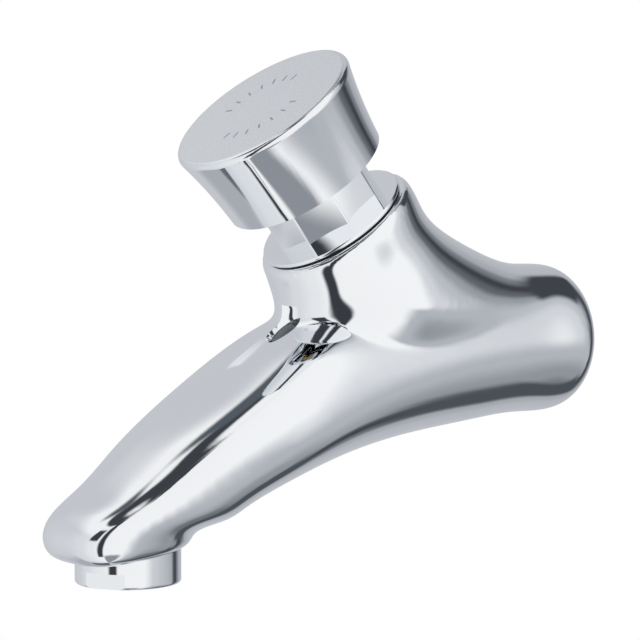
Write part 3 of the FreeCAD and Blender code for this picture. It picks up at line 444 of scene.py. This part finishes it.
plug_outline = [(PLUG_HALF_WIDTH, height, PLUG_HALF_LENGTH) for height in (PLUG_FOOT, PLUG_SHOULDER)]
for share in (0.96, 0.86, 0.7, 0.5, 0.25, 0.02):
    height = PLUG_CROWN - PLUG_DOME * share ** 2
    plug_outline.append((PLUG_HALF_WIDTH * share, height, PLUG_HALF_LENGTH * share))
plug = lathe("index_button", plug_outline, index_place, plug_normal)
bpy.ops.object.shade_smooth_by_angle(angle=math.radians(40))
plug.data.materials.append(slate)
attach(plug, "tap")
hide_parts("index_plug")

# Bonnet
# Turned from octagon bar: a thin round flange, eight flats above it for a spanner and a threaded
# skirt that goes down into the neck. It is chrome plated, over softened edges.
OCTAGON_FLATS = 0.0258
OCTAGON_TURN = math.radians(28.5)
OCTAGON_EDGE = 0.0004
FLANGE_R, FLANGE_FOOT, FLANGE_TOP = 0.0183, 0.03835, 0.0392
SKIRT_R, SKIRT_FOOT = 0.0154, 0.0233
BONNET_TOP, CHAMFER = 0.0535, 0.0012
BOSS_R, BOSS_TOP = 0.009, 0.0544


def add(piece, other):
    modify(piece, "BOOLEAN", operation="UNION", solver="EXACT", object=other)
    bpy.data.objects.remove(other)


corner_r = OCTAGON_FLATS / 2 / math.cos(math.pi / 8)
octagon = [
    (corner_r, FLANGE_TOP - 0.0004), (corner_r, BONNET_TOP - CHAMFER), (corner_r - CHAMFER, BONNET_TOP),
]
flange = [
    (SKIRT_R, SKIRT_FOOT), (SKIRT_R, FLANGE_FOOT),
    (FLANGE_R - 0.0003, FLANGE_FOOT), (FLANGE_R - 0.0001, FLANGE_FOOT + 0.0001),
    (FLANGE_R, FLANGE_FOOT + 0.0003), (FLANGE_R, FLANGE_TOP - 0.0004),
    (FLANGE_R - 0.0001, FLANGE_TOP - 0.0002), (FLANGE_R - 0.0003, FLANGE_TOP),
]
boss = [(BOSS_R, BONNET_TOP - 0.001), (BOSS_R, BOSS_TOP)]
guide = [
    (0.0126, 0.022), (0.0126, 0.0385), (0.0095, 0.0385), (0.0095, 0.043),      # over the housing
    (0.00405, 0.044), (0.00405, 0.0459), (0.0063, 0.0459), (0.0063, 0.0481),  # the ring's groove
    (0.00405, 0.0481), (0.00405, 0.0504), (0.0064, 0.0504), (0.0064, 0.0556),  # the bush's seat
]
bonnet = lathe("bonnet_octagon", octagon, valve_foot, valve_axis, 8, OCTAGON_TURN)
modify(bonnet, "BEVEL", width=OCTAGON_EDGE, segments=3, limit_method="ANGLE", angle_limit=math.radians(30))
add(bonnet, lathe("flange", flange, valve_foot, valve_axis, 192))
add(bonnet, lathe("boss", boss, valve_foot, valve_axis))
cut(bonnet, lathe("guide", guide, valve_foot, valve_axis))
select_only(bonnet)
bpy.ops.object.shade_smooth_by_angle(angle=math.radians(25))
bonnet.data.materials.clear()
bonnet.data.materials.append(polished)
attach(bonnet, "tap")
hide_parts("bonnet")

# Push cap
# Turned from brass bar and chrome plated all over. Its side is polished, and its slightly worn top
# is blasted to a satin that spreads the light.
CAP_TOP = 0.0718
SATIN_FROM, SATIN_FULL = CAP_TOP - 0.0003, CAP_TOP - 0.00005

cap_chrome = chrome_plate("satin_topped_chrome_plate", BUFFED)
tree = cap_chrome.node_tree
face = tree.nodes["Principled BSDF"]
place = node(tree, "ShaderNodeTexCoord").outputs["Object"]
from_foot = node(tree, "ShaderNodeVectorMath", {"operation": "SUBTRACT"}, i0=place, i1=valve_foot)
height = node(tree, "ShaderNodeVectorMath", {"operation": "DOT_PRODUCT"},
              i0=from_foot.outputs[0], i1=valve_axis)
top = node(tree, "ShaderNodeMapRange", {"interpolation_type": "SMOOTHSTEP"}, i0=height.outputs["Value"],
           i1=SATIN_FROM, i2=SATIN_FULL)
grain = node(tree, "ShaderNodeTexNoise", Vector=place, Scale=2600.0, Detail=3.0)
blasted = node(tree, "ShaderNodeMapRange", i0=grain.outputs["Fac"], i1=0.3, i2=0.7, i3=0.26, i4=0.36)
polish = face.inputs["Roughness"].links[0].from_socket
finish = node(tree, "ShaderNodeMix", {"data_type": "FLOAT"}, i0=top.outputs["Result"], i2=polish,
              i3=blasted.outputs["Result"])
tree.links.new(finish.outputs[0], face.inputs["Roughness"])
dress(cap_chrome, "push_cap")

# Etched ticks
# Two arcs of fine strokes, etched into the top of the cap and left plain. They are a little
# darker and rougher than the satin round them.
TICK_CIRCLE = 0.0112
TICK_WIDTH, TICK_LENGTH, TICK_HEIGHT = 0.00045, 0.0020, 0.00008
TICK_EDGE = 0.00002
TICK_STEP = math.radians(17)
ARC_MIDDLES = math.radians(-43), math.radians(137)

etched = bpy.data.materials.new("acid_etched_chrome")
etched.use_nodes = True
tree = etched.node_tree
face = tree.nodes["Principled BSDF"]
face.inputs["Metallic"].default_value = 1.0
place = node(tree, "ShaderNodeTexCoord").outputs["Object"]
bite = node(tree, "ShaderNodeTexNoise", Vector=place, Scale=5200.0, Detail=4.0)
tone = node(tree, "ShaderNodeMix", {"data_type": "RGBA"}, i0=bite.outputs["Fac"],
            i6=linear("A9B0B8"), i7=linear("C2C8CE"))
tree.links.new(tone.outputs[2], face.inputs["Base Color"])
rough = node(tree, "ShaderNodeMapRange", i0=bite.outputs["Fac"], i1=0.3, i2=0.7, i3=0.45, i4=0.6)
tree.links.new(rough.outputs["Result"], face.inputs["Roughness"])

valve_frame = Matrix.Translation(valve_foot) @ Matrix.Rotation(VALVE_TILT, 4, "X")
strokes = []
for middle in ARC_MIDDLES:
    for step in range(-3, 4):
        angle = middle + step * TICK_STEP
        bpy.ops.object.select_all(action="DESELECT")
        bpy.ops.mesh.primitive_cube_add(size=1.0)
        stroke = bpy.context.object
        across = Matrix.Translation((TICK_CIRCLE, 0, CAP_TOP))
        size = Matrix.Diagonal((TICK_LENGTH, TICK_WIDTH, TICK_HEIGHT, 1))
        stroke.data.transform(valve_frame @ Matrix.Rotation(angle, 4, "Z") @ across @ size)
        modify(stroke, "BEVEL", width=TICK_EDGE, segments=2)
        strokes.append(stroke)
select_only(*strokes)
bpy.ops.object.join()
ticks = bpy.context.object
ticks.name = "etched_ticks"
ticks.data.materials.clear()
ticks.data.materials.append(etched)
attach(ticks, "button")

# Aerator shell
# Turned brass collar that screws into the mouth and holds the aerator, with flats low on its side
# for a key. It is polished and plated like the casting.
dress(polished, "aerator_shell")

# Turned brass
# The stem with its nuts, the washer's holder and the seat come off the lathe in bare brass. The
# tool leaves fine rings about the valve's axis.
turned = bpy.data.materials.new("turned_brass")
turned.use_nodes = True
tree = turned.node_tree
face = tree.nodes["Principled BSDF"]
face.inputs["Metallic"].default_value = 1.0
place = node(tree, "ShaderNodeTexCoord").outputs["Object"]
upright = node(tree, "ShaderNodeMapping", {"vector_type": "TEXTURE"}, Vector=place, Location=valve_foot,
               Rotation=(VALVE_TILT, 0, 0))
marks = node(tree, "ShaderNodeTexWave", {"wave_type": "BANDS", "bands_direction": "Z"},
             Vector=upright.outputs[0], Scale=900.0, Distortion=0.4, Detail=1.0)
alloy = node(tree, "ShaderNodeMix", {"data_type": "RGBA"}, i0=marks.outputs["Fac"],
             i6=linear("C9A35A"), i7=linear("D8B872"))
tree.links.new(alloy.outputs[2], face.inputs["Base Color"])
cutting = node(tree, "ShaderNodeMapRange", i0=marks.outputs["Fac"], i3=0.2, i4=0.32)
tree.links.new(cutting.outputs["Result"], face.inputs["Roughness"])
dress(turned, "stem", "washer_holder", "valve_seat", "lock_nut", "tip_nut")

# Return spring
# Wound from drawn stainless wire. The die leaves long fine lines and a soft grey shine.
drawn = bpy.data.materials.new("drawn_stainless_wire")
drawn.use_nodes = True
tree = drawn.node_tree
face = tree.nodes["Principled BSDF"]
face.inputs["Metallic"].default_value = 1.0
place = node(tree, "ShaderNodeTexCoord").outputs["Object"]
lines = node(tree, "ShaderNodeTexNoise", Vector=place, Scale=1400.0, Detail=3.0)
steel = node(tree, "ShaderNodeMix", {"data_type": "RGBA"}, i0=lines.outputs["Fac"],
             i6=linear("A9ABAE"), i7=linear("C8CACC"))
tree.links.new(steel.outputs[2], face.inputs["Base Color"])
dull = node(tree, "ShaderNodeMapRange", i0=lines.outputs["Fac"], i1=0.3, i2=0.7, i3=0.24, i4=0.4)
tree.links.new(dull.outputs["Result"], face.inputs["Roughness"])
dress(drawn, "return_spring")

# Pressed stainless
# Circlip, backing washer, strainer and the aerator's screens are stamped from bright cold-rolled
# strip, which shows a faint grain along its rolling.
rolled = bpy.data.materials.new("cold_rolled_stainless")
rolled.use_nodes = True
tree = rolled.node_tree
face = tree.nodes["Principled BSDF"]
face.inputs["Metallic"].default_value = 1.0
place = node(tree, "ShaderNodeTexCoord").outputs["Object"]
drawn_out = node(tree, "ShaderNodeMapping", Vector=place, Scale=(60.0, 2400.0, 60.0))
rolling = node(tree, "ShaderNodeTexNoise", Vector=drawn_out.outputs[0], Scale=1.0, Detail=2.0)
steel = node(tree, "ShaderNodeMix", {"data_type": "RGBA"}, i0=rolling.outputs["Fac"],
             i6=linear("B4B6B8"), i7=linear("D0D2D3"))
tree.links.new(steel.outputs[2], face.inputs["Base Color"])
bright = node(tree, "ShaderNodeMapRange", i0=rolling.outputs["Fac"], i1=0.3, i2=0.7, i3=0.16, i4=0.28)
tree.links.new(bright.outputs["Result"], face.inputs["Roughness"])
dress(rolled, "stem_circlip", "aerator_screens", "inlet_strainer", "backing_washer")

# Acetal mouldings
# Housing, piston, bush and the aerator's insides are moulded in natural acetal: a milky white
# plastic with a waxy skin and faint flow marks.
acetal = bpy.data.materials.new("moulded_natural_acetal")
acetal.use_nodes = True
tree = acetal.node_tree
face = tree.nodes["Principled BSDF"]
face.inputs["Subsurface Weight"].default_value = 0.1
face.inputs["Subsurface Radius"].default_value = (0.0012, 0.0012, 0.001)
place = node(tree, "ShaderNodeTexCoord").outputs["Object"]
flow = node(tree, "ShaderNodeTexNoise", Vector=place, Scale=90.0, Detail=2.0, Distortion=0.6)
milk = node(tree, "ShaderNodeMix", {"data_type": "RGBA"}, i0=flow.outputs["Fac"],
            i6=linear("E4E3DC"), i7=linear("EEEDE8"))
tree.links.new(milk.outputs[2], face.inputs["Base Color"])
wax = node(tree, "ShaderNodeMapRange", i0=flow.outputs["Fac"], i1=0.3, i2=0.7, i3=0.34, i4=0.46)
tree.links.new(wax.outputs["Result"], face.inputs["Roughness"])
dress(acetal, "cartridge_housing", "piston", "stem_bush", "flow_disc", "aerator_insert")

# Rubber seals
# Gaskets, rings, the lip seal and the valve's washer are pressed from black nitrile rubber, which
# comes out of the mould matt with a fine bloom.
nitrile = bpy.data.materials.new("moulded_nitrile_rubber")
nitrile.use_nodes = True
tree = nitrile.node_tree
face = tree.nodes["Principled BSDF"]
place = node(tree, "ShaderNodeTexCoord").outputs["Object"]
bloom = node(tree, "ShaderNodeTexNoise", Vector=place, Scale=700.0, Detail=4.0)
black = node(tree, "ShaderNodeMix", {"data_type": "RGBA"}, i0=bloom.outputs["Fac"],
             i6=linear("17181A"), i7=linear("26282A"))
tree.links.new(black.outputs[2], face.inputs["Base Color"])
matt = node(tree, "ShaderNodeMapRange", i0=bloom.outputs["Fac"], i1=0.3, i2=0.7, i3=0.6, i4=0.8)
tree.links.new(matt.outputs["Result"], face.inputs["Roughness"])
dress(nitrile, "bonnet_gasket", "stem_ring", "housing_ring", "seat_gasket", "lip_seal", "valve_washer",
      "aerator_gasket", "inlet_washer")

# Studio
# A white tent over pale paper, in its own plain light. What chrome shows is the tent: white in
# front, greyer behind, with dark seams and strips at its corners and roof, and a grey table below.
FLOOR_LEVEL = -0.40
bpy.ops.object.select_all(action="DESELECT")
bpy.ops.mesh.primitive_plane_add(size=6.0, location=(0, 0, FLOOR_LEVEL))
floor = bpy.context.object
floor.name = "floor"
floor.visible_glossy = False
paper = bpy.data.materials.new("paper")
paper.use_nodes = True
tree = paper.node_tree
matt = tree.nodes["Principled BSDF"]
matt.inputs["Base Color"].default_value = linear("949494")
matt.inputs["Roughness"].default_value = 1.0
matt.inputs["Specular IOR Level"].default_value = 0.0
ray = node(tree, "ShaderNodeLightPath")
white = node(tree, "ShaderNodeEmission", Strength=0.76)
added = node(tree, "ShaderNodeAddShader", i0=matt.outputs[0], i1=white.outputs[0])
mix = node(tree, "ShaderNodeMixShader", i0=ray.outputs["Is Camera Ray"],
           i1=matt.outputs[0], i2=added.outputs[0])
tree.links.new(mix.outputs[0], tree.nodes["Material Output"].inputs["Surface"])
floor.data.materials.append(paper)

world = bpy.data.worlds.new("studio")
bpy.context.scene.world = world
world.use_nodes = True
tree = world.node_tree
tent = tree.nodes["Background"]
way = node(tree, "ShaderNodeTexCoord").outputs["Generated"]
turned_way = node(tree, "ShaderNodeVectorRotate", {"rotation_type": "Z_AXIS"},
                  Vector=way, Angle=-CAMERA_AZIMUTH)
parts = node(tree, "ShaderNodeSeparateXYZ", i0=turned_way.outputs[0])
forward = node(tree, "ShaderNodeMath", {"operation": "MULTIPLY"}, i0=parts.outputs["Y"], i1=-1.0)
turned = node(tree, "ShaderNodeMath", {"operation": "ARCTAN2"}, i0=parts.outputs["X"], i1=forward.outputs[0])
azimuth = node(tree, "ShaderNodeMath", {"operation": "DEGREES"}, i0=turned.outputs[0]).outputs[0]
lifted = node(tree, "ShaderNodeMath", {"operation": "ARCSINE"}, i0=parts.outputs["Z"])
elevation = node(tree, "ShaderNodeMath", {"operation": "DEGREES"}, i0=lifted.outputs[0]).outputs[0]


def patch(below, tone, sides, heights):
    """Lays a tone over part of the tent. Each limit is a pair between which it fades."""
    mask = 1.0
    for value, fades, start, end in ((azimuth, sides[0], 0.0, 1.0), (azimuth, sides[1], 1.0, 0.0),
                                     (elevation, heights[0], 0.0, 1.0), (elevation, heights[1], 1.0, 0.0)):
        edge = node(tree, "ShaderNodeMapRange", {"interpolation_type": "SMOOTHSTEP"},
                    i0=value, i1=fades[0], i2=fades[1], i3=start, i4=end)
        mask = node(tree, "ShaderNodeMath", {"operation": "MULTIPLY"}, i0=mask, i1=edge.outputs[0]).outputs[0]
    return node(tree, "ShaderNodeMix", {"data_type": "RGBA"}, i0=mask, i6=below, i7=linear(tone)).outputs[2]


round_about = node(tree, "ShaderNodeMapRange", i0=azimuth, i1=-180.0, i2=180.0)
ramp = node(tree, "ShaderNodeValToRGB", i0=round_about.outputs[0])
ramp.color_ramp.interpolation = "EASE"
# Tones round the tent, by azimuth in degrees. 0 is towards the camera.
TENT = [
    (-180, "C4C7CC"), (-150, "CACCD0"), (-125, "D1D3D7"), (-95, "E0E1E4"),
    (-60, "EFF0F1"), (-30, "FAFAFA"), (68, "FDFDFD"), (84, "DADBDE"),
    (97, "C0C3C8"), (108, "9DA1A7"), (117, "63676D"), (127, "3E4146"),
    (136, "7B7E85"), (145, "ACAFB4"), (158, "BABDC2"), (180, "C4C7CC"),
]
while len(ramp.color_ramp.elements) < len(TENT):
    ramp.color_ramp.elements.new(0.5)
for element, (place, tone) in zip(ramp.color_ramp.elements, TENT):
    element.position = (place + 180) / 360
    element.color = linear(tone)

# Panels, seams and strips over it: a tone, the azimuths and the heights between which it lies.
FROM_LEFT, FROM_BELOW, TO_ABOVE = (-182, -181), (-91, -90), (91, 92)
PANELS = [
    ("FAFAFA", ((-152, -140), (-60, -45)), ((28, 42), TO_ABOVE)),
    ("AEB1B6", (FROM_LEFT, (-118, -105)), (FROM_BELOW, (-42, -26))),
    ("676A71", (FROM_LEFT, (-118, -105)), (FROM_BELOW, (-62, -58))),
    ("B8BBC0", ((38, 64), (112, 120)), (FROM_BELOW, (-16, 2))),
    ("969AA0", ((62, 86), (113, 121)), (FROM_BELOW, (-38, -18))),
    ("71747B", ((76, 92), (120, 130)), (FROM_BELOW, (-50, -40))),
    ("4F5359", ((104, 114), (134, 142)), (FROM_BELOW, (-42, -32))),
    ("91949B", ((-22, -10), (28, 44)), (FROM_BELOW, (-46, -34))),
    ("3A3D42", ((-42, -34), (-23, -17)), ((-48, -42), (62, 70))),
    ("3C3F44", ((-78, -72), (-50, -44)), ((16, 24), (48, 54))),
    ("3E4146", (FROM_LEFT, (-40, -20)), ((57, 61), (69, 74))),
    ("42454A", ((96, 108), (146, 156)), ((28, 38), (56, 66))),
    ("565D64", ((-165, -152), (-130, -116)), ((47, 53), (62, 70))),
]
light = ramp.outputs["Color"]
for tone, sides, heights in PANELS:
    light = patch(light, tone, sides, heights)
ray = node(tree, "ShaderNodeLightPath")
seen = node(tree, "ShaderNodeMath", {"operation": "MAXIMUM"},
            i0=ray.outputs["Is Glossy Ray"], i1=ray.outputs["Is Transmission Ray"]).outputs[0]
shown = node(tree, "ShaderNodeMix", {"data_type": "RGBA"}, i0=seen, i6=linear("FFFFFF"), i7=light)
direct = node(tree, "ShaderNodeMath", {"operation": "MAXIMUM"}, i0=seen, i1=ray.outputs["Is Camera Ray"])
level = node(tree, "ShaderNodeMapRange", i0=direct.outputs[0], i3=0.8, i4=1.0)
tree.links.new(level.outputs["Result"], tent.inputs["Strength"])
tree.links.new(shown.outputs[2], tent.inputs["Color"])
